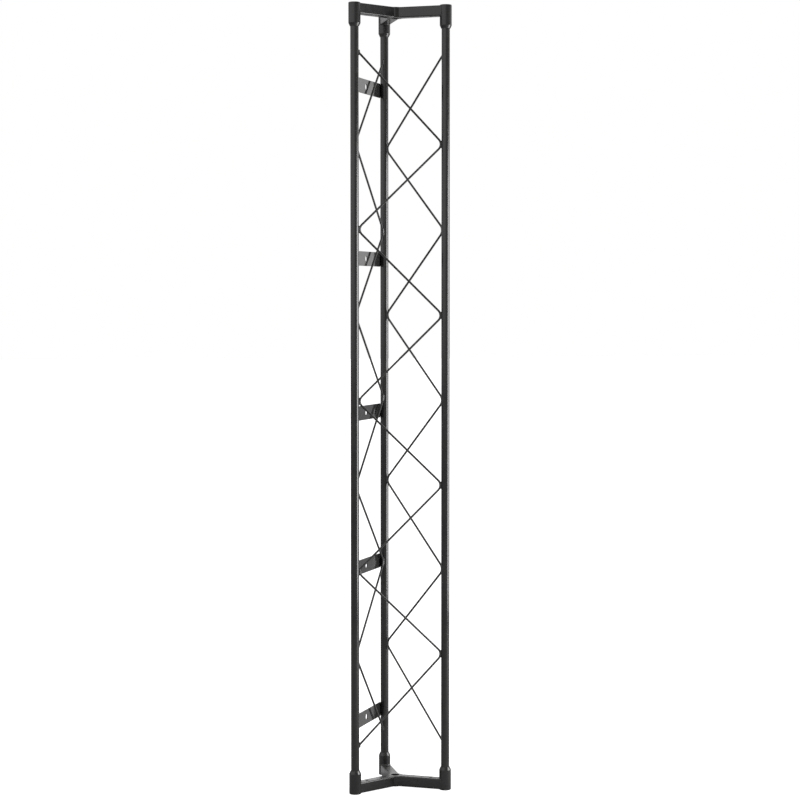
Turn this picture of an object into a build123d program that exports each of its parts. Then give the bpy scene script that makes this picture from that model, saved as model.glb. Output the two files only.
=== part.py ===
# Three-chord lighting truss section in welded and painted steel.
#
# The section stands along +Z, its front face looks towards -Y and its rear chord is on +Y.
# The origin is the centre of the lower bolt circle, on the truss axis and in the outer face
# of the lower arms.  The sockets stand a little proud of the arms and meet the next section.

import os
from math import asin, atan2, cos, hypot, radians, sin, sqrt, tan

from build123d import *

# overall sizes
length = 1500.0  # mating face to mating face
chord_spacing = 176.0  # centre to centre of any two chords

# chord tubes
chord_diameter = 16.0
chord_wall = 1.5

# lacing rods, one bent rod in each face
rod_diameter = 4.0
rod_bend_radius = 13.0  # to the rod's centre line
rod_legs = 8  # an even number, so that a rod ends on the chord where it starts
rod_end_inset = 101.2  # mating face to where the bends' even pitch would put the end of a rod
rod_end_drop = 11.4  # how much nearer its mating face a rod really ends
rod_clearance = 0.1  # gap between a rod and a chord, which the weld bridges

# end frames: sockets, arms and a hub
socket_diameter = 23.0
socket_depth = 44.0  # mating face to the socket's mouth
socket_shoulder = 5.0  # height of the sloping shoulder at the mouth
socket_rim = 1.0  # width of the flat rim at the mouth
socket_end_wall = 5.0
socket_clearance = 0.15  # radial gap around the chord
socket_edge_radius = 1.6
shoulder_edge_radius = 1.4
arm_width = 20.0
arm_height = 20.0
arm_wall = 2.0
arm_corner_radius = 2.0
arm_recess = 1.5  # the arms stand this far back from the mating face
hub_diameter = 30.0
hub_bore = 16.0
hub_edge_chamfer = 0.6
bolt_hole_diameter = 6.5
bolt_circle = 145.0

# mounting plates, all in the face between the left and the rear chord
plate_height = 28.0
plate_thickness = 2.0
plate_hole_diameter = 11.0
plate_corner_radius = 1.5
plate_end_gap = 0.15  # gap between a plate and a chord, which the weld bridges
plate_first_inset = 131.5  # lower mating face to the middle of the first plate
plate_pitch = 296.5
plate_pitch_count = 4
plate_last_inset = 149.5  # upper mating face to the middle of the last plate

# weld beads
rod_bead_length = 16.0
rod_bead_width = 6.4
rod_bead_rise = 0.6  # chord's surface to the bead's middle line
plate_bead_gap = 0.287  # gap left between a plate's end and its bead
plate_bead_inset = 0.5  # plate's outer side to the bead's middle line
seam_width = 1.1
mouth_bead_width = 1.0

# derived sizes
chord_radius = chord_diameter / 2
rod_radius = rod_diameter / 2
socket_radius = socket_diameter / 2
hub_radius = hub_diameter / 2
lower_face = -arm_recess
upper_face = lower_face + length
chord_reach = chord_spacing / sqrt(3)  # truss axis to a chord's axis
face_reach = chord_reach / 2  # truss axis to a face's plane
arm_top = arm_recess + arm_height  # mating face to the arms' inner side
plate_heights = [lower_face + plate_first_inset + plate_pitch * n for n in range(plate_pitch_count)]
plate_heights.append(upper_face - plate_last_inset)

# A rod's bends are arcs about points this far from its face's middle line, which just
# clear the chords, and each leg crosses over from one arc to the next.
bend_offset = chord_spacing / 2 - chord_radius - rod_clearance - rod_radius - rod_bend_radius
rod_pitch = (length - 2 * rod_end_inset) / rod_legs
leg_turn = asin(2 * rod_bend_radius / hypot(2 * bend_offset, rod_pitch))
leg_slope = atan2(rod_pitch, 2 * bend_offset) - leg_turn
corner_offset = rod_pitch / tan(leg_slope) / 2  # middle line to where two legs, extended, meet
corner_reach = chord_spacing / 2 - corner_offset  # chord's axis to the same corner

side_turns = {"left": 210, "right": 330, "rear": 90}
side_ways = {side: Vector(cos(radians(turn)), sin(radians(turn))) for side, turn in side_turns.items()}
face_ends = {"front": ("left", "right"), "right": ("right", "rear"), "left": ("rear", "left")}
end_ways = {"lower": 1, "upper": -1}  # the way from a mating face into the section


def finish(part, name):
    part.label = name
    export_step(part, f"parts/{name}.step")


def along_chord(side, height):
    """Horizontal plane on a chord's axis, with X towards the truss axis."""
    way = side_ways[side]
    centre = way * chord_reach + Vector(0, 0, height)
    return Plane(origin=centre, x_dir=way * -1, z_dir=(0, 0, 1))


def at_end(end, side=None):
    """Plane of a mating face, with Z into the section, on a chord or on the truss axis."""
    face_height = lower_face if end == "lower" else upper_face
    way = side_ways[side or "rear"]
    centre = Vector(0, 0, face_height) + (way * chord_reach if side else Vector(0, 0, 0))
    return Plane(origin=centre, x_dir=way, z_dir=(0, 0, end_ways[end]))


def across_socket(end, side):
    """Upright plane through a chord's axis: X away from the truss axis, Y into the section."""
    base = at_end(end, side)
    return Plane(origin=base.origin, x_dir=base.x_dir, z_dir=base.y_dir * -1)


def in_face(face, outward=0.0):
    """Upright plane of a face: X from its first chord to its second, Y up, Z outwards."""
    first, second = (side_ways[side] for side in face_ends[face])
    out = (first + second).normalized()
    centre = out * (face_reach + outward)
    return Plane(origin=centre, x_dir=second - first, z_dir=out)


def toward(side, other, height):
    """Horizontal plane on a chord's axis, with X towards another chord."""
    centre = side_ways[side] * chord_reach + Vector(0, 0, height)
    return Plane(origin=centre, x_dir=side_ways[other] - side_ways[side], z_dir=(0, 0, 1))


# ---- chords
def chord_tube(side):
    with BuildPart() as tube:
        with BuildSketch(along_chord(side, lower_face + socket_end_wall)):
            Circle(chord_radius)
            Circle(chord_radius - chord_wall, mode=Mode.SUBTRACT)
        extrude(amount=length - 2 * socket_end_wall)
    return tube.part


# ---- end frames
def socket(end, side):
    axis = Axis(at_end(end, side).origin, at_end(end, side).z_dir)
    mouth_radius = chord_radius + socket_clearance
    with BuildPart() as cup:
        with BuildSketch(across_socket(end, side)):
            Polygon(
                (0, 0),
                (socket_radius, 0),
                (socket_radius, socket_depth - socket_shoulder),
                (mouth_radius + socket_rim, socket_depth),
                (mouth_radius, socket_depth),
                (mouth_radius, socket_end_wall),
                (0, socket_end_wall),
                align=None,
            )
        revolve(axis=axis)
        rims = cup.edges().filter_by(GeomType.CIRCLE).sort_by(axis)
        foot_rim, shoulder_rim = rims.filter_by(lambda rim: rim.radius > mouth_radius + socket_rim + 0.01)
        fillet(foot_rim, socket_edge_radius)
        fillet(shoulder_rim, shoulder_edge_radius)
    return cup.part


def across_arm(end, side, growth=0.0):
    """Plane across an arm in the middle of its outline, which may grow on its inner side."""
    way = side_ways[side]
    rise = arm_recess + (arm_height + growth) / 2
    middle = at_end(end).origin + Vector(0, 0, end_ways[end] * rise)
    return Plane(origin=middle, x_dir=(-way.Y, way.X, 0), z_dir=way)


def arm(end, side):
    base = at_end(end)
    way = side_ways[side]
    with BuildPart() as bar:
        with BuildSketch(across_arm(end, side)):
            RectangleRounded(arm_width, arm_height, arm_corner_radius)
            RectangleRounded(
                arm_width - 2 * arm_wall,
                arm_height - 2 * arm_wall,
                arm_corner_radius - arm_wall / 2,
                mode=Mode.SUBTRACT,
            )
        extrude(amount=chord_reach)
        with BuildSketch(base):
            Circle(hub_radius)
        extrude(amount=arm_top, mode=Mode.SUBTRACT)
        with BuildSketch(at_end(end, side)):
            Circle(socket_radius)
        extrude(amount=arm_top, mode=Mode.SUBTRACT)
        hole_plane = Plane(origin=base.origin + way * (bolt_circle / 2), z_dir=base.z_dir)
        with BuildSketch(hole_plane):
            Circle(bolt_hole_diameter / 2)
        extrude(amount=arm_top, mode=Mode.SUBTRACT)
    return bar.part


def hub(end):
    with BuildPart() as bush:
        with BuildSketch(at_end(end).offset(arm_recess)):
            Circle(hub_radius)
            Circle(hub_bore / 2, mode=Mode.SUBTRACT)
        extrude(amount=arm_height)
        bore_rims = bush.edges().filter_by(GeomType.CIRCLE)
        chamfer(bore_rims.filter_by(lambda rim: rim.radius < hub_radius - 0.01), hub_edge_chamfer)
    return bush.part


def arm_weld(end, side):
    """The bead around the end of an arm: up its sides and over its inner face."""
    base = at_end(end, side)
    reach = socket_radius + seam_width
    with BuildPart() as seam:
        # all that lies close to the socket, sloping in above the arm
        with BuildSketch(across_socket(end, side)):
            Polygon(
                (0, arm_recess),
                (reach, arm_recess),
                (reach, arm_top),
                (socket_radius, arm_top + seam_width),
                (0, arm_top + seam_width),
                align=None,
            )
        revolve(axis=Axis(base.origin, base.z_dir))
        with BuildSketch(across_arm(end, side, seam_width)):
            RectangleRounded(arm_width + 2 * seam_width, arm_height + seam_width, arm_corner_radius)
        extrude(amount=chord_reach, mode=Mode.INTERSECT)
        with BuildSketch(across_arm(end, side)):
            RectangleRounded(arm_width, arm_height, arm_corner_radius)
        extrude(amount=chord_reach, mode=Mode.SUBTRACT)
        with BuildSketch(base):
            Circle(socket_radius)
        extrude(amount=socket_depth, mode=Mode.SUBTRACT)
    return seam.part


def mouth_weld(end, side):
    """The ring that holds a chord in the mouth of its socket."""
    base = at_end(end, side)
    with BuildPart() as ring:
        with BuildSketch(across_socket(end, side)):
            Polygon(
                (chord_radius, socket_depth),
                (chord_radius + socket_clearance + mouth_bead_width, socket_depth),
                (chord_radius, socket_depth + mouth_bead_width),
                align=None,
            )
        revolve(axis=Axis(base.origin, base.z_dir))
    return ring.part


def frame_welds(end):
    """All seams of one end frame."""
    with BuildPart() as welds:
        for side in side_ways:
            add(arm_weld(end, side))
            add(mouth_weld(end, side))
    return welds.part


# ---- lacing
def rod_corners():
    """Corners of a rod's legs in its face, from the lower end to the upper one."""
    heights = [lower_face + rod_end_inset + n * rod_pitch for n in range(rod_legs + 1)]
    heights[0] -= rod_end_drop
    heights[-1] += rod_end_drop
    return [(corner_offset * (-1) ** (n + 1), height) for n, height in enumerate(heights)]


def bent_rod(plane, corners):
    """A round rod along these corners of a plane, with its bends rounded."""
    with BuildPart() as rod:
        with BuildLine(plane) as route:
            if len(corners) == 2:
                Line(*corners)
            else:
                FilletPolyline(*corners, radius=rod_bend_radius)
        with BuildSketch(Plane(origin=route.line @ 0, z_dir=route.line % 0)):
            Circle(rod_radius)
        sweep(path=route.line)
    return rod.part


def lacing_rod(face):
    first = face_ends[face][0]
    corners = rod_corners()
    with BuildPart() as rod:
        add(bent_rod(in_face(face), corners))
        # each end is cut to the round of the chord that it is welded to
        for corner in (corners[0], corners[-1]):
            with BuildSketch(along_chord(first, corner[1] - rod_pitch / 4)):
                Circle(chord_radius)
            extrude(amount=rod_pitch / 2, mode=Mode.SUBTRACT)
    return rod.part


def rod_bead(corners, height):
    """One bead on a chord at the origin, X towards the other chord, around the rod there."""
    bead_radius = rod_bead_width / 2
    middle = chord_radius + rod_bead_rise
    low, high = (Vector(middle, 0, height + way * (rod_bead_length / 2 - bead_radius)) for way in (-1, 1))
    with BuildPart() as bead:
        with BuildSketch(Plane(origin=low)):
            Circle(bead_radius)
        extrude(amount=high.Z - low.Z)
        with Locations(low, high):
            Sphere(bead_radius)
        add(bent_rod(Plane.XZ, corners), mode=Mode.SUBTRACT)
        with BuildSketch(Plane.XY.offset(height - rod_bead_length)):
            Circle(chord_radius)
        extrude(amount=2 * rod_bead_length, mode=Mode.SUBTRACT)
    return bead.part


def lacing_welds(face):
    """Beads that hold one rod: one at each bend, and one at each end."""
    first, second = face_ends[face]
    far = chord_spacing - corner_reach
    end_rise = rod_pitch + rod_end_drop  # height of an end leg between its corners
    bend = rod_bead([(far, -rod_pitch), (corner_reach, 0), (far, rod_pitch)], 0)
    end_bend = rod_bead([(far, -end_rise), (corner_reach, 0), (far, rod_pitch)], 0)
    climb = (chord_radius - corner_reach) * end_rise / (far - corner_reach)  # corner to the chord's surface
    foot = rod_bead([(corner_reach, 0), (far, end_rise)], climb)
    heights = [corner[1] for corner in rod_corners()]

    def places(here, there, low, high):
        """The same place near the lower end, and upside down near the upper end."""
        start, stop = toward(here, there, low), toward(here, there, high)
        return start.location, Plane(origin=stop.origin, x_dir=stop.x_dir, z_dir=stop.z_dir * -1).location

    with BuildPart() as welds:
        for n, height in enumerate(heights[2:-2], start=2):
            here, there = (first, second) if n % 2 == 0 else (second, first)
            with Locations(toward(here, there, height).location):
                add(bend)
        with Locations(*places(second, first, heights[1], heights[-2])):
            add(end_bend)
        with Locations(*places(first, second, heights[0], heights[-1])):
            add(foot)
    return welds.part


# ---- mounting plates
# A plate's middle plane touches the outside of the chords, so its ends stop where its
# inner side meets their round.
plate_inner = chord_radius - plate_thickness / 2
plate_end_reach = sqrt((chord_radius + plate_end_gap) ** 2 - plate_inner**2)


def mounting_plate(height):
    with BuildPart() as plate:
        with BuildSketch(in_face("left", plate_inner)):
            with Locations((0, height)):
                Rectangle(chord_spacing - 2 * plate_end_reach, plate_height)
                Circle(plate_hole_diameter / 2, mode=Mode.SUBTRACT)
        extrude(amount=plate_thickness)
        corners = plate.edges().filter_by(Axis((0, 0, 0), in_face("left").z_dir))
        fillet(corners, plate_corner_radius)
    return plate.part


def plate_welds(plates, chords):
    """Upright beads along both ends of each plate, on its outer side."""
    bead_radius = plate_end_reach / 2 - plate_bead_gap
    bead_run = plate_height - 2 * plate_corner_radius - 2 * bead_radius
    line = in_face("left", plate_inner + plate_thickness - plate_bead_inset)
    spread = chord_spacing / 2 - plate_end_reach / 2
    with BuildPart() as beads:
        for height in plate_heights:
            for x in (-spread, spread):
                low = line.from_local_coords((x, height - bead_run / 2, 0))
                high = line.from_local_coords((x, height + bead_run / 2, 0))
                with BuildSketch(Plane(origin=low)):
                    Circle(bead_radius)
                extrude(amount=bead_run)
                with Locations(low, high):
                    Sphere(bead_radius)
        for piece in plates + chords:
            add(piece, mode=Mode.SUBTRACT)
    return beads.part


# ---- the whole section
os.makedirs("parts", exist_ok=True)

tubes = {side: chord_tube(side) for side in side_ways}
for side, tube in tubes.items():
    finish(tube, f"chord_tube_{side}")

for end in end_ways:
    sockets = [socket(end, side) for side in side_ways]
    arms = [arm(end, side) for side in side_ways]
    bush = hub(end)
    for side, cup, bar in zip(side_ways, sockets, arms):
        finish(cup, f"{end}_socket_{side}")
        finish(bar, f"{end}_arm_{side}")
    finish(bush, f"{end}_hub")
    finish(frame_welds(end), f"{end}_frame_welds")

for face in face_ends:
    finish(lacing_rod(face), f"lacing_rod_{face}")
    finish(lacing_welds(face), f"lacing_welds_{face}")

plates = [mounting_plate(height) for height in plate_heights]
for n, plate in enumerate(plates, start=1):
    finish(plate, f"mounting_plate_{n}")
finish(plate_welds(plates, [tubes["rear"], tubes["left"]]), "plate_welds")
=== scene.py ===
import math

import bmesh
import bpy
import numpy as np
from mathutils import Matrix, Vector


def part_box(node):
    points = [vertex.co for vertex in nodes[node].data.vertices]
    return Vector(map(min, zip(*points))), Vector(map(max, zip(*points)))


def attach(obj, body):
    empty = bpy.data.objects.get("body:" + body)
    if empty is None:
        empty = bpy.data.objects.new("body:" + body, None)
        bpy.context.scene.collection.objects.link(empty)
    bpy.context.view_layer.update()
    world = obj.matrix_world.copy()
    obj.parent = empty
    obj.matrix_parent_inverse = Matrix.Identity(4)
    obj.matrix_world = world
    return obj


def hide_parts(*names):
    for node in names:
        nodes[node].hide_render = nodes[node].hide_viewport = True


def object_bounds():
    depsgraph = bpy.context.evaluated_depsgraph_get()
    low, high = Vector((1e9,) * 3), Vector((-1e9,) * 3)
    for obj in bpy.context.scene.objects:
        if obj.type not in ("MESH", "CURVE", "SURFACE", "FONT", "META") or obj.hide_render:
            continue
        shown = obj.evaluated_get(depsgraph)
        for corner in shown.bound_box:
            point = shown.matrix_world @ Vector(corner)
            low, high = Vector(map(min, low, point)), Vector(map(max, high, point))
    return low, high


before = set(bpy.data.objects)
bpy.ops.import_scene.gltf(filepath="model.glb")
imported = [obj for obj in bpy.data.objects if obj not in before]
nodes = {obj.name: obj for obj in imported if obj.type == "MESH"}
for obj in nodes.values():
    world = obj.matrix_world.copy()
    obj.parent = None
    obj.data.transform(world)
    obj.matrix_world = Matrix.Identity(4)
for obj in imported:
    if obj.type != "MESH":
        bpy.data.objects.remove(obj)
cadLow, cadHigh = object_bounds()
sides = ("left", "right", "rear")
ends = ("lower", "upper")
faces = {"front": ("left", "right"), "right": ("right", "rear"), "left": ("rear", "left")}
plateNumbers = range(1, 6)


# where a chord stands and how thick it is, read from the frame
def chordAxis(side):
    low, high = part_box("chord_tube_" + side)
    return np.array([(low.x + high.x) / 2, (low.y + high.y) / 2])


def tubeRadius(side):
    low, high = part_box("chord_tube_" + side)
    return (high.x - low.x) / 2


chords = {side: chordAxis(side) for side in sides}
footHeight, headHeight = cadLow.z, cadHigh.z


# shader maths: a socket that takes the usual operators
class Wire:
    def __init__(self, graph, socket):
        self.graph = graph
        self.socket = socket

    def maths(self, operation, *values):
        slots = {n: value for n, value in enumerate(values)}
        return self.graph.node("ShaderNodeMath", {"operation": operation}, slots)

    def __add__(self, other):
        return self.maths("ADD", self, other)

    def __radd__(self, other):
        return self.maths("ADD", other, self)

    def __sub__(self, other):
        return self.maths("SUBTRACT", self, other)

    def __rsub__(self, other):
        return self.maths("SUBTRACT", other, self)

    def __mul__(self, other):
        return self.maths("MULTIPLY", self, other)

    def __rmul__(self, other):
        return self.maths("MULTIPLY", other, self)

    def smaller(self, other):
        return self.maths("MINIMUM", self, other)

    def larger(self, other):
        return self.maths("MAXIMUM", self, other)

    def size(self):
        return self.maths("ABSOLUTE", self)

    # 0 below low, 1 above high, and a smooth step between
    def step(self, low, high):
        inputs = {"Value": self, "From Min": low, "From Max": high}
        return self.graph.node("ShaderNodeMapRange", {"interpolation_type": "SMOOTHSTEP"}, inputs)


# a node tree, with one method that adds any node
class Graph:
    def __init__(self, tree):
        self.tree = tree
        tree.nodes.clear()

    def feed(self, socket, value):
        if isinstance(value, Wire):
            self.tree.links.new(value.socket, socket)
        else:
            socket.default_value = value

    def node(self, kind, settings=None, inputs=None, output=0):
        made = self.tree.nodes.new(kind)
        for name, value in (settings or {}).items():
            setattr(made, name, value)
        for name, value in (inputs or {}).items():
            self.feed(made.inputs[name], value)
        return Wire(self, made.outputs[output])

    def output(self, kind, shader):
        made = self.tree.nodes.new(kind)
        self.feed(made.inputs["Surface"], shader)

    def mixColour(self, share, first, second):
        # sockets 6 and 7 of a Mix node are its colours, and so is output 2
        return self.node("ShaderNodeMix", {"data_type": "RGBA"}, {0: share, 6: first, 7: second}, 2)

    def stretched(self, place, amounts):
        return self.node("ShaderNodeVectorMath", {"operation": "MULTIPLY"}, {0: place, 1: amounts})

    def noise(self, place, scale, detail=2.0, roughness=0.5):
        inputs = {"Vector": place, "Scale": scale, "Detail": detail, "Roughness": roughness}
        return self.node("ShaderNodeTexNoise", {"noise_dimensions": "3D"}, inputs, "Fac")


def grey(value, warmth=0.0):
    return (value * (1 + warmth), value, value * (1 - warmth), 1.0)


# finishes: base colour between dark and pale, and how rough and how dimpled it is, and how much dust and
# painted light from above it takes on the faces that look up
paintLooks = {
    "chord_paint": {
        "dark": 0.0115, "pale": 0.0185, "rough": 0.15, "roughChange": 0.08, "peel": 0.12, "dustAndTopLight": 0.25},
    "lacing_paint": {
        "dark": 0.0150, "pale": 0.0240, "rough": 0.22, "roughChange": 0.12, "peel": 0.25, "dustAndTopLight": 0.35},
    "frame_paint": {
        "dark": 0.0085, "pale": 0.0140, "rough": 0.20, "roughChange": 0.12, "peel": 0.32, "dustAndTopLight": 0.45},
    "plate_paint": {
        "dark": 0.0170, "pale": 0.0260, "rough": 0.11, "roughChange": 0.10, "peel": 0.20, "dustAndTopLight": 0.35},
    "weld_paint": {
        "dark": 0.0140, "pale": 0.0250, "rough": 0.22, "roughChange": 0.16, "peel": 0.40, "dustAndTopLight": 0.30},
}
paintValues = {
    "patchScale": 14.0,  # broad change of tone, patches of about 7 cm
    "patchShare": 0.55,  # of the tone; the clouds are the rest
    "cloudScale": 160.0,  # small clouds of about 6 mm
    "toneBand": (0.32, 0.68),
    "peelScale": 620.0,  # skin of sprayed paint, 1.6 mm from dimple to dimple
    "peelDepth": 0.00006,
    "waveScale": 45.0,  # slow waves that bend a long reflection a little
    "waveDepth": 0.00018,
    "scratchScale": (900.0, 900.0, 26.0),  # fine lines along the section
    "scratchBand": (0.66, 0.74),  # which lines show
    "scratchPatches": (0.4, 0.6),  # where they lie
    "scratchShare": 0.5,
    "scratchColour": 0.03,
    "scratchRough": 0.10,
    # the next settings make surfaces that look up paler, partly as dust and partly as painted light from
    # above
    "dustAndTopLightSlope": (0.35, 0.95),  # how far up a surface has to look
    "dustAndTopLightEven": 0.45,
    "dustAndTopLightCloudy": 0.9,
    "dustAndTopLightBand": (0.35, 0.7),
    "dustAndTopLightShare": 0.5,
    "dustAndTopLightColour": 0.16,
    "dustRough": 0.25,
    "speckBand": (0.62, 0.72),
    "speckShare": 0.25,
    "wearDepth": 0.0011,  # paint rubbed off this close to a mating face
    "wearBand": (0.46, 0.56),
    "steelColour": 0.42,
    "steelMetallic": 0.9,
    "steelRough": 0.12,
    "leastRough": 0.05,
    "ior": 1.5,
}


# Paint: a near black whose tone drifts with two noises, and its roughness with the tone; dust
# and painted light from above make a surface paler where it looks up, and the dust dulls it; fine
# rubbed lines run along the section; a dimpled skin and slow waves bend the light; bare steel shows at the
# mating faces.
def paint(name):
    look, values = paintLooks[name], paintValues
    material = bpy.data.materials.new("black_" + name)
    material.use_nodes = True
    graph = Graph(material.node_tree)
    place = graph.node("ShaderNodeTexCoord", output="Object")
    normal = graph.node("ShaderNodeNewGeometry", output="Normal")
    height = graph.node("ShaderNodeSeparateXYZ", None, {"Vector": place}, "Z")
    upward = graph.node("ShaderNodeSeparateXYZ", None, {"Vector": normal}, "Z")

    patches = graph.noise(place, values["patchScale"], detail=3.0)
    clouds = graph.noise(place, values["cloudScale"], detail=4.0, roughness=0.6)
    lines = graph.noise(graph.stretched(place, values["scratchScale"]), 1.0, detail=3.0, roughness=0.65)
    scratches = lines.step(*values["scratchBand"]) * patches.step(*values["scratchPatches"])
    cloudy = values["dustAndTopLightEven"] + values["dustAndTopLightCloudy"] * clouds.step(*values["dustAndTopLightBand"])
    # painted light from above, with dust: a surface is made paler the more it looks up, in cloudy patches
    dustAndTopLight = upward.step(*values["dustAndTopLightSlope"]) * cloudy * look["dustAndTopLight"]
    specks = clouds.step(*values["speckBand"]) * (values["speckShare"] * look["dustAndTopLight"])

    nearEnd = (height - footHeight).size().smaller((height - headHeight).size())
    bare = (1 - nearEnd.step(0.0, values["wearDepth"])) * clouds.step(*values["wearBand"])

    tone = values["patchShare"] * patches + (1 - values["patchShare"]) * clouds
    tone = tone.step(*values["toneBand"])
    colour = graph.mixColour(tone, grey(look["dark"], 0.01), grey(look["pale"], 0.02))
    colour = graph.mixColour(scratches * values["scratchShare"], colour, grey(values["scratchColour"]))
    # painted light from above, with dust: the paint is mixed towards a pale grey on upward faces and at the
    # specks
    dustAndTopLightMix = (dustAndTopLight + specks).smaller(1.0) * values["dustAndTopLightShare"]
    colour = graph.mixColour(dustAndTopLightMix, colour, grey(values["dustAndTopLightColour"], 0.04))
    colour = graph.mixColour(bare, colour, grey(values["steelColour"], 0.02))

    rough = look["rough"] + look["roughChange"] * (tone - 0.5) + values["dustRough"] * dustAndTopLight
    rough = rough + values["scratchRough"] * scratches + values["steelRough"] * bare

    dimples = graph.noise(place, values["peelScale"], detail=2.0)
    waves = graph.noise(place, values["waveScale"], detail=1.0)
    bent = graph.node("ShaderNodeBump", None, {
        "Strength": look["peel"], "Distance": values["peelDepth"], "Height": dimples})
    bent = graph.node("ShaderNodeBump", None, {
        "Strength": look["peel"], "Distance": values["waveDepth"], "Height": waves, "Normal": bent})

    shader = graph.node("ShaderNodeBsdfPrincipled", None, {
        "Base Color": colour, "Roughness": rough.larger(values["leastRough"]),
        "Metallic": bare * values["steelMetallic"], "IOR": values["ior"], "Normal": bent}, "BSDF")
    graph.output("ShaderNodeOutputMaterial", shader)
    return material


paints = {name: paint(name) for name in paintLooks}
print("finishes made:", len(paints))

meshValues = {
    "merge": 1e-6,  # points nearer than this become one
    "flat": 1e-7,  # an edge shorter than this goes
    "roundingSteps": 6,
    "hold": 0.1,  # how far beyond a rounding, in radii, a point keeps the flat's shading flat
}


# Quads between the points of a grid. Its columns close on themselves, and its rows may.
def gridQuads(rows, columns, closeRows, first):
    a, b = np.meshgrid(np.arange(rows if closeRows else rows - 1), np.arange(columns), indexing="ij")
    nextA, nextB = (a + 1) % rows, (b + 1) % columns
    corners = [a * columns + b, nextA * columns + b, nextA * columns + nextB, a * columns + nextB]
    return np.stack(corners, -1).reshape(-1, 4) + first


# A closed piece from grids of points: doubles merged, faces turned outwards, soft but for sharp edges.
def makePiece(name, slot, replaced, grids, closeRows=True, sharpAngle=40):
    points, quads, count = [], [], 0
    for grid in grids:
        rows, columns = grid.shape[:2]
        points.append(grid.reshape(-1, 3))
        quads.append(gridQuads(rows, columns, closeRows, count))
        count += rows * columns
    mesh = bpy.data.meshes.new(name)
    mesh.from_pydata(np.concatenate(points).tolist(), [], np.concatenate(quads).tolist())
    work = bmesh.new()
    work.from_mesh(mesh)
    bmesh.ops.remove_doubles(work, verts=work.verts, dist=meshValues["merge"])
    bmesh.ops.dissolve_degenerate(work, edges=work.edges, dist=meshValues["flat"])
    bmesh.ops.recalc_face_normals(work, faces=work.faces)
    work.to_mesh(mesh)
    work.free()
    mesh.shade_smooth()
    mesh.set_sharp_from_angle(angle=math.radians(sharpAngle))
    mesh.materials.append(paints[slot])
    piece = bpy.data.objects.new(name, mesh)
    bpy.context.scene.collection.objects.link(piece)
    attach(piece, "root")
    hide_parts(*replaced)
    return piece


# A surface of revolution: each (radius, height) of a closed outline goes round an upright axis.
def turned(outline, axis, segments):
    turn = np.linspace(0, 2 * math.pi, segments, endpoint=False)
    radius, height = np.array(outline).T
    x = axis[0] + radius[:, None] * np.cos(turn)
    y = axis[1] + radius[:, None] * np.sin(turn)
    z = np.broadcast_to(height[:, None], x.shape)
    return np.stack([x, y, z], -1)


# The arc that rounds a corner of an outline: points on a circle tangent to both of its sides.
def rounded(before, corner, after, radius, steps):
    before, corner, after = (np.array(p, float) for p in (before, corner, after))
    a = (before - corner) / np.linalg.norm(before - corner)
    b = (after - corner) / np.linalg.norm(after - corner)
    half = math.acos(np.clip(a @ b, -1, 1)) / 2
    centre = corner + (a + b) / np.linalg.norm(a + b) * radius / math.sin(half)
    start, stop = corner + a * radius / math.tan(half), corner + b * radius / math.tan(half)
    share = np.linspace(0, 1, steps + 1)[:, None]
    sweep = math.pi - 2 * half
    # between the two radii the point turns evenly, as a spherical blend does
    blend = np.sin((1 - share) * sweep) * (start - centre) + np.sin(share * sweep) * (stop - centre)
    arc = centre + blend / math.sin(sweep)
    hold = meshValues["hold"]
    return np.concatenate([[start + a * radius * hold], arc, [stop + b * radius * hold]])


# An outline with its corners rounded; a corner is (radius, height, rounding).
def roundedOutline(corners):
    made = []
    for n, (r, h, radius) in enumerate(corners):
        before, after = corners[n - 1][:2], corners[(n + 1) % len(corners)][:2]
        if radius:
            made.append(rounded(before, (r, h), after, radius, meshValues["roundingSteps"]))
        else:
            made.append(np.array([[r, h]]))
    return np.concatenate(made)


# A ring carried along a path: at each point an ellipse lies across the path, of the half width and
# half height that sizes gives. A closed path's rings join up, and an open path's ends close to points.
def carried(path, across, sizes, segments, closed=False):
    if closed:
        along = np.roll(path, -1, 0) - np.roll(path, 1, 0)
    else:
        along = np.gradient(path, axis=0)
    along /= np.linalg.norm(along, axis=1)[:, None]
    side = np.cross(along, across)
    side /= np.linalg.norm(side, axis=1)[:, None]
    up = np.cross(side, along)
    turn = np.linspace(0, 2 * math.pi, segments, endpoint=False)
    width, height = np.broadcast_to(sizes, (len(path), 2)).T
    ring = (
        path[:, None]
        + side[:, None] * (width[:, None] * np.cos(turn))[..., None]
        + up[:, None] * (height[:, None] * np.sin(turn))[..., None]
    )
    if closed:
        return ring
    tips = [np.repeat(path[[n]][None], segments, 1) for n in (0, -1)]
    return np.concatenate([tips[0], ring, tips[1]])


chordValues = {"wall": 0.0015, "segments": 72, "edge": 0.0003}


# A chord: an upright strip as wide as the wall, its corners rounded, turned round the chord's axis.
def chordTube(side):
    low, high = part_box("chord_tube_" + side)
    radius, edge = tubeRadius(side), chordValues["edge"]
    inner = radius - chordValues["wall"]
    outline = roundedOutline([
        (radius, low.z, edge), (radius, high.z, edge), (inner, high.z, edge), (inner, low.z, edge)])
    grid = turned(outline, chords[side], chordValues["segments"])
    makePiece("tube_" + side, "chord_paint", ["chord_tube_" + side], [grid])


for side in sides:
    chordTube(side)
print("chords made")

socketValues = {
    "shoulder": 0.005,  # height of the slope at the mouth
    "shoulderRounding": 0.0014,
    "footRounding": 0.0016,
    "rim": 0.001,
    "rimRounding": 0.0003,
    "endWall": 0.005,
    "clearance": 0.00015,  # chord to mouth
    "segments": 72,
}


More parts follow.
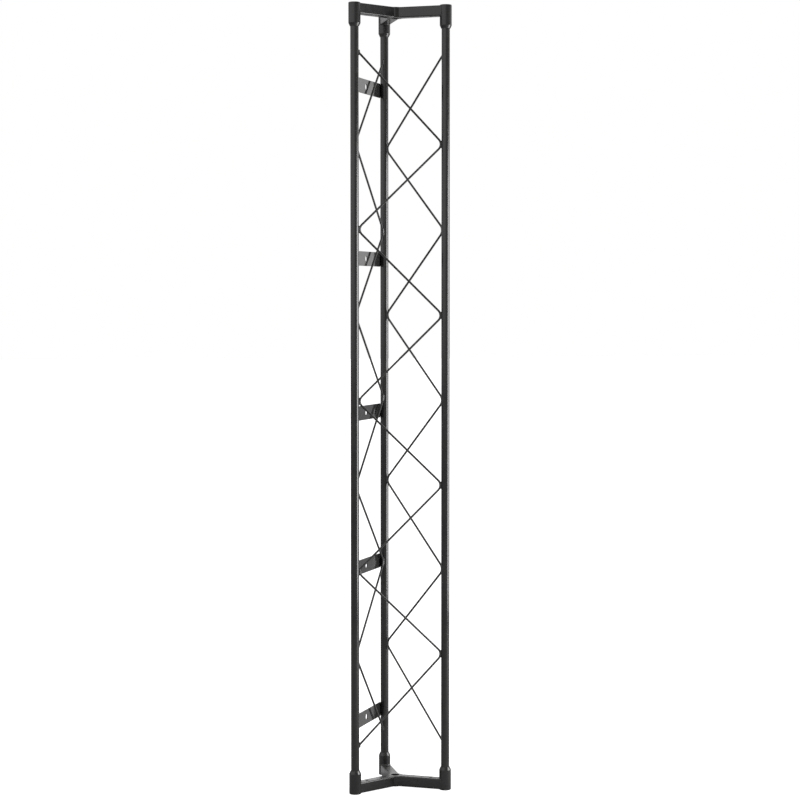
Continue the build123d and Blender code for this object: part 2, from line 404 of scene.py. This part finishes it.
# A cup with a rounded foot and a sloping shoulder, turned round its chord's axis. Its outline's
# heights are counted from the mating face inwards.
def socket(end, side):
    node = f"{end}_socket_{side}"
    low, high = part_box(node)
    radius, depth = (high.x - low.x) / 2, high.z - low.z
    mouth = tubeRadius(side) + socketValues["clearance"]
    outline = roundedOutline([
        (0.0, 0.0, 0),
        (radius, 0.0, socketValues["footRounding"]),
        (radius, depth - socketValues["shoulder"], socketValues["shoulderRounding"]),
        (mouth + socketValues["rim"], depth, socketValues["rimRounding"]),
        (mouth, depth, socketValues["rimRounding"]),
        (mouth, socketValues["endWall"], 0),
        (0.0, socketValues["endWall"], 0),
    ])
    outline[:, 1] = low.z + outline[:, 1] if end == "lower" else high.z - outline[:, 1]
    grid = turned(outline, chords[side], socketValues["segments"])
    makePiece(f"{end}_cup_{side}", "frame_paint", [node], [grid])


hubValues = {"bore": 0.008, "chamfer": 0.0006, "edge": 0.0008, "segments": 80}


# A bored boss: an upright strip from the bore to the outside, its corners rounded, turned round.
def hub(end):
    low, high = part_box(end + "_hub")
    radius, bore = (high.x - low.x) / 2, hubValues["bore"]
    outline = roundedOutline([
        (radius, low.z, hubValues["edge"]),
        (radius, high.z, hubValues["edge"]),
        (bore, high.z, hubValues["chamfer"]),
        (bore, low.z, hubValues["chamfer"]),
    ])
    grid = turned(outline, (0.0, 0.0), hubValues["segments"])
    makePiece(end + "_boss", "frame_paint", [end + "_hub"], [grid])


for end in ends:
    hub(end)
    for side in sides:
        socket(end, side)
        arm = nodes[f"{end}_arm_{side}"]
        arm.material_slots[0].material = paints["frame_paint"]
print("end frames made")

rodValues = {
    "radius": 0.002,
    "bendRadius": 0.013,  # to the rod's centre line
    "gap": 0.0001,  # chord to rod, bridged by the weld
    "legs": 8,
    "endInset": 0.1012,  # mating face to where the even pitch would put an end
    "endDrop": 0.0114,  # how much nearer the mating face a rod really ends
    "sunk": 0.0008,  # how far an end runs on into its chord
    "arcSteps": 14,
    "legSteps": 6,
    "segments": 20,
}


# A rod's corners in its face, as (distance from the first chord, height), with the chords' spacing
# and radius. A leg crosses between two arcs that just clear the chords, so its slope is the angle to
# the far arc's centre less the turn that two arcs of that radius take up. The end legs are steeper,
# which brings the bends next to them about 0.2 mm into the chord.
def rodLayout(face):
    first, second = (chords[side] for side in faces[face])
    spacing = np.linalg.norm(second - first)
    chordRadius = tubeRadius(faces[face][0])
    centreInset = chordRadius + rodValues["gap"] + rodValues["radius"] + rodValues["bendRadius"]
    pitch = (headHeight - footHeight - 2 * rodValues["endInset"]) / rodValues["legs"]
    across = spacing - 2 * centreInset
    slope = math.atan2(pitch, across) - math.asin(2 * rodValues["bendRadius"] / math.hypot(across, pitch))
    cornerInset = (spacing - pitch / math.tan(slope)) / 2
    count = np.arange(rodValues["legs"] + 1)
    heights = footHeight + rodValues["endInset"] + count * pitch
    heights[[0, -1]] += np.array([-1, 1]) * rodValues["endDrop"]
    along = np.where(count % 2 == 0, cornerInset, spacing - cornerInset)
    return spacing, chordRadius, np.stack([along, heights], -1)


# Where an end leg is as far from its chord's axis as reach, on the straight line between its corners.
def legEnd(corner, following, reach):
    share = (reach - corner[0]) / (following[0] - corner[0])
    return corner + (following - corner) * share


# Points of a rod's centre line in its face: straight legs joined by arcs.
def rodLine(face):
    chordRadius, corners = rodLayout(face)[1:]
    reach = chordRadius - rodValues["sunk"]
    line = [legEnd(corners[0], corners[1], reach)[None]]
    for before, corner, after in zip(corners[:-2], corners[1:-1], corners[2:]):
        line.append(rounded(before, corner, after, rodValues["bendRadius"], rodValues["arcSteps"]))
    line.append(legEnd(corners[-1], corners[-2], reach)[None])
    joined = [line[0]]
    share = np.linspace(0, 1, rodValues["legSteps"] + 1)[1:-1, None]
    for part in line[1:]:
        joined += [joined[-1][-1] * (1 - share) + part[0] * share, part]
    return np.concatenate(joined)


# A point of a face in the frame, along from the first chord, up, and outwards from the chords' plane;
# and the direction outwards.
def inFace(face, along, height, outward=0.0):
    first, second = (chords[side] for side in faces[face])
    way = (second - first) / np.linalg.norm(second - first)
    out = np.array([way[1], -way[0]])
    along, height, outward = np.broadcast_arrays(along, height, outward)
    flat = first + along[..., None] * way + outward[..., None] * out
    return np.concatenate([flat, height[..., None]], -1), np.array([out[0], out[1], 0.0])


# A lacing rod: a circle carried along its centre line.
def rod(face):
    line = rodLine(face)
    path, out = inFace(face, line[:, 0], line[:, 1])
    grid = carried(path, out, (rodValues["radius"], rodValues["radius"]), rodValues["segments"])
    makePiece("rod_" + face, "lacing_paint", ["lacing_rod_" + face], [grid], closeRows=False)


for face in faces:
    rod(face)
print("lacing rods made")

plateValues = {
    "thickness": 0.002,
    "hole": 0.0055,
    "corner": 0.0015,
    "cornerSteps": 7,
    "edge": 0.00035,
    "endGap": 0.00015,
    "rimStep": 0.004,  # the longest stretch of the rim between two points
    "sharpAngle": 30,
}
plateSpacing = np.linalg.norm(chords["rear"] - chords["left"])


# The rim of a plate, round from its right end's upper corner: four quarter circles, and the straight
# sides between them cut into even stretches.
def plateRim(halfLong, halfHigh):
    corner = plateValues["corner"]
    quarter = np.linspace(0, math.pi / 2, plateValues["cornerSteps"])
    corners = []
    for k, (sx, sy) in enumerate([(1, 1), (-1, 1), (-1, -1), (1, -1)]):
        turn = quarter + k * math.pi / 2
        middle = np.array([sx * (halfLong - corner), sy * (halfHigh - corner)])
        corners.append(middle + corner * np.stack([np.cos(turn), np.sin(turn)], -1))
    loop = np.concatenate(corners + [corners[0][:1]])
    rim = [loop[:1]]
    for a, b in zip(loop[:-1], loop[1:]):
        stretches = max(1, int(round(np.linalg.norm(b - a) / plateValues["rimStep"])))
        rim.append(a + (b - a) * np.linspace(0, 1, stretches + 1)[1:, None])
    return np.concatenate(rim)[:-1]


# A flat bar with one hole. One parameter goes round the hole, the other across the section: up the
# hole's wall, out over one side, round the rim and back over the other side, its edges eased.
def plate(n):
    node = f"mounting_plate_{n}"
    low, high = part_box(node)
    half, edge = plateValues["thickness"] / 2, plateValues["edge"]
    chordRadius = tubeRadius("rear")
    inner = chordRadius - half
    reach = math.sqrt((chordRadius + plateValues["endGap"]) ** 2 - inner**2)
    rim = plateRim(plateSpacing / 2 - reach, (high.z - low.z) / 2)
    angle = np.arctan2(rim[:, 1], rim[:, 0])
    hole = plateValues["hole"] * np.stack([np.cos(angle), np.sin(angle)], -1)
    outwardWay = (rim - hole) / np.linalg.norm(rim - hole, axis=1)[:, None]
    # each station is a line, a shift outwards from the hole and a level across the thickness
    stations = [
        (hole, 0, -half + edge), (hole, 0, half - edge), (hole, edge, half), (rim, -edge, half),
        (rim, 0, half - edge), (rim, 0, -half + edge), (rim, -edge, -half), (hole, edge, -half)]
    middle = (low.z + high.z) / 2
    rings = []
    for line, shift, level in stations:
        flat = line + outwardWay * shift
        ring = inFace("left", flat[:, 0] + plateSpacing / 2, flat[:, 1] + middle, inner + half + level)[0]
        rings.append(ring)
    grid = np.stack(rings)
    makePiece(f"plate_{n}", "plate_paint", [node], [grid], sharpAngle=plateValues["sharpAngle"])


for n in plateNumbers:
    plate(n)
print("plates made")

beadValues = {
    "length": 0.0145,
    "width": 0.0058,
    "endShare": 0.72,  # a bead on a rod's end, as a share of one on a bend
    "lift": 0.0006,  # chord's surface to the bead's middle line
    "trim": 0.02,  # share of a bead's run left off each end, where it closes to a point
    "squareness": 4,  # higher keeps a bead thick nearer its ends
    "ripples": 7,
    "rippleDepth": 0.11,  # of the width
    "rippleSharpness": 0.7,
    "unevenness": 0.035,  # of the width
    "steps": 44,
    "segments": 22,
    "sharpAngle": 70,
    "seed": 11,
}
chance = np.random.default_rng(beadValues["seed"])


# How thick a bead is along its length: the root of one less the fourth power of the way from its
# middle, times a row of ripples like laid coins and a slow wave.
def beadSizes(share, ripples):
    body = np.clip(1 - (2 * share - 1) ** beadValues["squareness"], 0, 1) ** 0.5
    phase, lean = chance.uniform(0, 2 * math.pi, 2)
    ripple = np.abs(np.sin(math.pi * ripples * share + phase)) ** beadValues["rippleSharpness"]
    drift = np.sin(2 * math.pi * share + lean)
    return body * (1 - beadValues["rippleDepth"] * (1 - ripple) + beadValues["unevenness"] * drift)


def weldPiece(name, replaced, grids, closeRows=False):
    makePiece(name, "weld_paint", [replaced], grids, closeRows, beadValues["sharpAngle"])


# The beads on one rod: each a circle of changing size, carried up a short line on the chord around
# a bend or an end.
def rodBeads(face):
    spacing, chordRadius, corners = rodLayout(face)
    middles = corners[:, 1].copy()
    middles[0] = legEnd(corners[0], corners[1], chordRadius)[1]
    middles[-1] = legEnd(corners[-1], corners[-2], chordRadius)[1]
    inset = chordRadius + beadValues["lift"]
    share = np.linspace(beadValues["trim"], 1 - beadValues["trim"], beadValues["steps"])
    grids = []
    for n, middle in enumerate(middles):
        along = inset if n % 2 == 0 else spacing - inset
        size = beadValues["endShare"] if n in (0, rodValues["legs"]) else 1
        sizes = beadSizes(share, beadValues["ripples"])[:, None] * beadValues["width"] / 2 * size
        path, out = inFace(face, along, middle + (share - 0.5) * beadValues["length"] * size)
        grids.append(carried(path, out, np.repeat(sizes, 2, 1), beadValues["segments"]))
    weldPiece("rod_beads_" + face, "lacing_welds_" + face, grids)


seamValues = {
    "size": 0.0011,
    "ripples": 46,
    "start": 0.0012,  # how far inwards from the arm's outer face a seam begins
    "armCorner": 0.002,
    "cornerSteps": 9,
    "widest": 0.98,  # how far round the socket a seam may go, as a share of its radius
    "mouthSize": 0.0009,
    "mouthGap": 0.0003,  # chord's surface to the ring's middle line
    "mouthRipples": 13,
    "mouthRippleDepth": 0.12,
    "steps": 150,
    "segments": 14,
}


# The seam around one arm's end: its path climbs one side, crosses the inner face and goes down the
# other side. It lies on the socket's round, whose distance from the socket's middle, at a place
# across the arm, is the root of the radius squared less that place squared.
def armSeam(end, side):
    low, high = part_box(f"{end}_socket_{side}")
    radius = (high.x - low.x) / 2
    # the rear arm runs along Y, so its box has the arms' width
    armLow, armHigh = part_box(f"{end}_arm_rear")
    halfWidth, base, top = (armHigh.x - armLow.x) / 2, armLow.z, armHigh.z
    if end == "upper":
        base, top = top, base
    inward = 1 if end == "lower" else -1
    rise = abs(top - base)
    corner, start = seamValues["armCorner"], seamValues["start"]
    # the outline of the arm, as (across, rise) with rounded corners
    turn = np.linspace(0, math.pi / 2, seamValues["cornerSteps"])
    left = np.stack([-halfWidth + corner - corner * np.cos(turn), rise - corner + corner * np.sin(turn)], -1)
    outline = np.concatenate([[[-halfWidth, start]], left, left[::-1] * [-1, 1], [[halfWidth, start]]])
    lengths = np.r_[0, np.cumsum(np.linalg.norm(np.diff(outline, axis=0), axis=1))]
    share = np.linspace(0, 1, seamValues["steps"])
    across, up = (np.interp(share * lengths[-1], lengths, outline[:, k]) for k in (0, 1))
    inset = np.sqrt(radius**2 - np.clip(np.abs(across), 0, radius * seamValues["widest"]) ** 2)
    toAxis = -chords[side] / np.linalg.norm(chords[side])
    sideways = np.array([-toAxis[1], toAxis[0]])
    flat = chords[side] + inset[:, None] * toAxis + across[:, None] * sideways
    path = np.concatenate([flat, (base + inward * up)[:, None]], 1)
    sizes = beadSizes(share, seamValues["ripples"])[:, None] * seamValues["size"]
    return carried(path, np.array([*toAxis, 0.0]), np.repeat(sizes, 2, 1), seamValues["segments"])


# The seam at one socket's mouth: a circle of rippling size carried round the chord.
def mouthSeam(end, side):
    low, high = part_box(f"{end}_socket_{side}")
    radius = tubeRadius(side) + seamValues["mouthGap"]
    turn = np.linspace(0, 2 * math.pi, seamValues["steps"], endpoint=False)
    x, y = chords[side][0] + radius * np.cos(turn), chords[side][1] + radius * np.sin(turn)
    path = np.stack([x, y, np.full_like(turn, high.z if end == "lower" else low.z)], -1)
    ripple = np.abs(np.sin(turn * seamValues["mouthRipples"])) ** beadValues["rippleSharpness"]
    depth = seamValues["mouthRippleDepth"]
    sizes = (seamValues["mouthSize"] * (1 - depth + depth * ripple))[:, None]
    upright = np.array([0.0, 0.0, 1.0])
    return carried(path, upright, np.repeat(sizes, 2, 1), seamValues["segments"], closed=True)


def frameSeams(end):
    node = end + "_frame_welds"
    weldPiece(end + "_arm_seams", node, [armSeam(end, side) for side in sides])
    weldPiece(end + "_mouth_seams", node, [mouthSeam(end, side) for side in sides], closeRows=True)


plateBeadValues = {
    "width": 0.0044,
    "flatness": 0.6,  # how far it stands proud, against its width
    "inset": 0.0012,  # plate's outer side to the bead's middle line
    "trim": 0.01,
    "ripples": 11,
    "cornerGap": 0.0015,
}


# The beads at the plates' ends: each a flattened circle of changing size, carried up between the
# plate's outer side and the chord.
def plateBeads():
    chordRadius, half = tubeRadius("rear"), plateValues["thickness"] / 2
    reach = math.sqrt((chordRadius + plateValues["endGap"]) ** 2 - (chordRadius - half) ** 2)
    outward = chordRadius + half - plateBeadValues["inset"]
    share = np.linspace(plateBeadValues["trim"], 1 - plateBeadValues["trim"], beadValues["steps"])
    grids = []
    for n in plateNumbers:
        low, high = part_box(f"mounting_plate_{n}")
        middle = (low.z + high.z) / 2
        run = high.z - low.z - 2 * plateBeadValues["cornerGap"]
        for along in (reach / 2, plateSpacing - reach / 2):
            sizes = beadSizes(share, plateBeadValues["ripples"])[:, None] * plateBeadValues["width"] / 2
            path, out = inFace("left", along, middle + (share - 0.5) * run, outward)
            sizes = sizes * [1, plateBeadValues["flatness"]]
            grids.append(carried(path, out, sizes, beadValues["segments"]))
    weldPiece("plate_beads", "plate_welds", grids)


for face in faces:
    rodBeads(face)
for end in ends:
    frameSeams(end)
plateBeads()
print("welds made")

studio = {
    "heading": 11.89,  # degrees the camera looks to the right of +Y
    "distance": 4.0738,
    "aside": 0.0144,
    "height": 0.9382,
    "tilt": -2.675,
    "lens": 95.35,
    "shiftAcross": -0.003,
    "viewDepth": 200,
    "backdrop": 1.0,  # what the camera sees behind
    "ambient": 0.36,
    "floor": 0.62,
    "floorGlow": 1.0,
    "floorSize": 60,
    "floorGap": 0.0002,  # floor to the lower mating faces
    "keyBearing": 83.0,  # degrees round to the right from the camera's own side
    "keyDistance": 2.0,
    "keySize": (1.45, 1.30),
    "keyHeight": 0.72,
    "keyRadiance": 9.0,
}
# soft bright regions of the room: bearing, half width and softness in degrees, and brightness
roomLights = [
    {"bearing": 150.0, "half": 40.0, "soft": 26.0, "level": 0.85},
    {"bearing": -52.0, "half": 40.0, "soft": 34.0, "level": 0.95},
]
heading = math.radians(studio["heading"])
ahead = np.array([math.sin(heading), math.cos(heading), 0.0])
rightward = np.array([math.cos(heading), -math.sin(heading), 0.0])


# A level direction, by its bearing from the camera's own side round to the right.
def bearingWay(degrees):
    turn = math.radians(degrees)
    return -ahead * math.cos(turn) + rightward * math.sin(turn)


# The room: even dim light with soft bright regions, each a smooth step of the angle to its middle;
# the camera itself sees a plain pale backdrop.
def room():
    world = bpy.data.worlds.new("studio_room")
    world.use_nodes = True
    bpy.context.scene.world = world
    graph = Graph(world.node_tree)
    look = graph.node("ShaderNodeTexCoord", output="Generated")
    level = studio["ambient"]
    for light in roomLights:
        way = tuple(bearingWay(light["bearing"]))
        near = graph.node("ShaderNodeVectorMath", {"operation": "DOT_PRODUCT"}, {0: look, 1: way}, "Value")
        outer = math.cos(math.radians(light["half"] + light["soft"]))
        full = math.cos(math.radians(light["half"] - light["soft"] / 2))
        level = level + near.step(outer, full) * light["level"]
    lit = graph.node("ShaderNodeBackground", None, {"Color": grey(1.0), "Strength": level})
    plain = graph.node("ShaderNodeBackground", None, {"Color": grey(1.0), "Strength": studio["backdrop"]})
    seen = graph.node("ShaderNodeLightPath", output="Is Camera Ray")
    both = graph.node("ShaderNodeMixShader", None, {0: seen, 1: lit, 2: plain})
    graph.output("ShaderNodeOutputWorld", both)


# A pale floor that takes soft shadows and glows a little, so that it runs into the backdrop.
def floor():
    place = (0, 0, footHeight - studio["floorGap"])
    bpy.ops.mesh.primitive_plane_add(size=studio["floorSize"], location=place)
    ground = bpy.context.object
    ground.name = "studio_floor"
    material = bpy.data.materials.new("pale_floor")
    material.use_nodes = True
    graph = Graph(material.node_tree)
    seen = graph.node("ShaderNodeLightPath", output="Is Camera Ray")
    dull = graph.node("ShaderNodeBsdfDiffuse", None, {"Color": grey(studio["floor"])})
    strength = seen * studio["floorGlow"]
    glow = graph.node("ShaderNodeEmission", None, {"Color": grey(1.0), "Strength": strength})
    both = graph.node("ShaderNodeAddShader", None, {0: dull, 1: glow})
    graph.output("ShaderNodeOutputMaterial", both)
    ground.data.materials.append(material)


# The key light: a tall soft box beside the section, level with its lower half.
def keyLight():
    width, height = studio["keySize"]
    light = bpy.data.lights.new("soft_box", "AREA")
    light.shape = "RECTANGLE"
    light.size, light.size_y = width, height
    light.energy = studio["keyRadiance"] * math.pi * width * height
    box = bpy.data.objects.new("soft_box", light)
    way = bearingWay(studio["keyBearing"])
    box.location = way * studio["keyDistance"] + np.array([0, 0, studio["keyHeight"]])
    # the lamp shines along its own -Z, which is turned to face the section
    box.rotation_euler = (math.pi / 2, 0, math.atan2(way[1], way[0]) + math.pi / 2)
    box.visible_camera = False
    bpy.context.scene.collection.objects.link(box)


def camera():
    data = bpy.data.cameras.new("view")
    data.lens = studio["lens"]
    data.shift_x = studio["shiftAcross"]
    data.clip_end = studio["viewDepth"]
    view = bpy.data.objects.new("view", data)
    place = -ahead * studio["distance"] + rightward * studio["aside"]
    view.location = (place[0], place[1], studio["height"])
    view.rotation_euler = (math.pi / 2 + math.radians(studio["tilt"]), 0, -heading)
    bpy.context.scene.collection.objects.link(view)
    bpy.context.scene.camera = view


room()
floor()
keyLight()
camera()
bpy.context.scene.view_settings.view_transform = "Standard"
print("studio made")
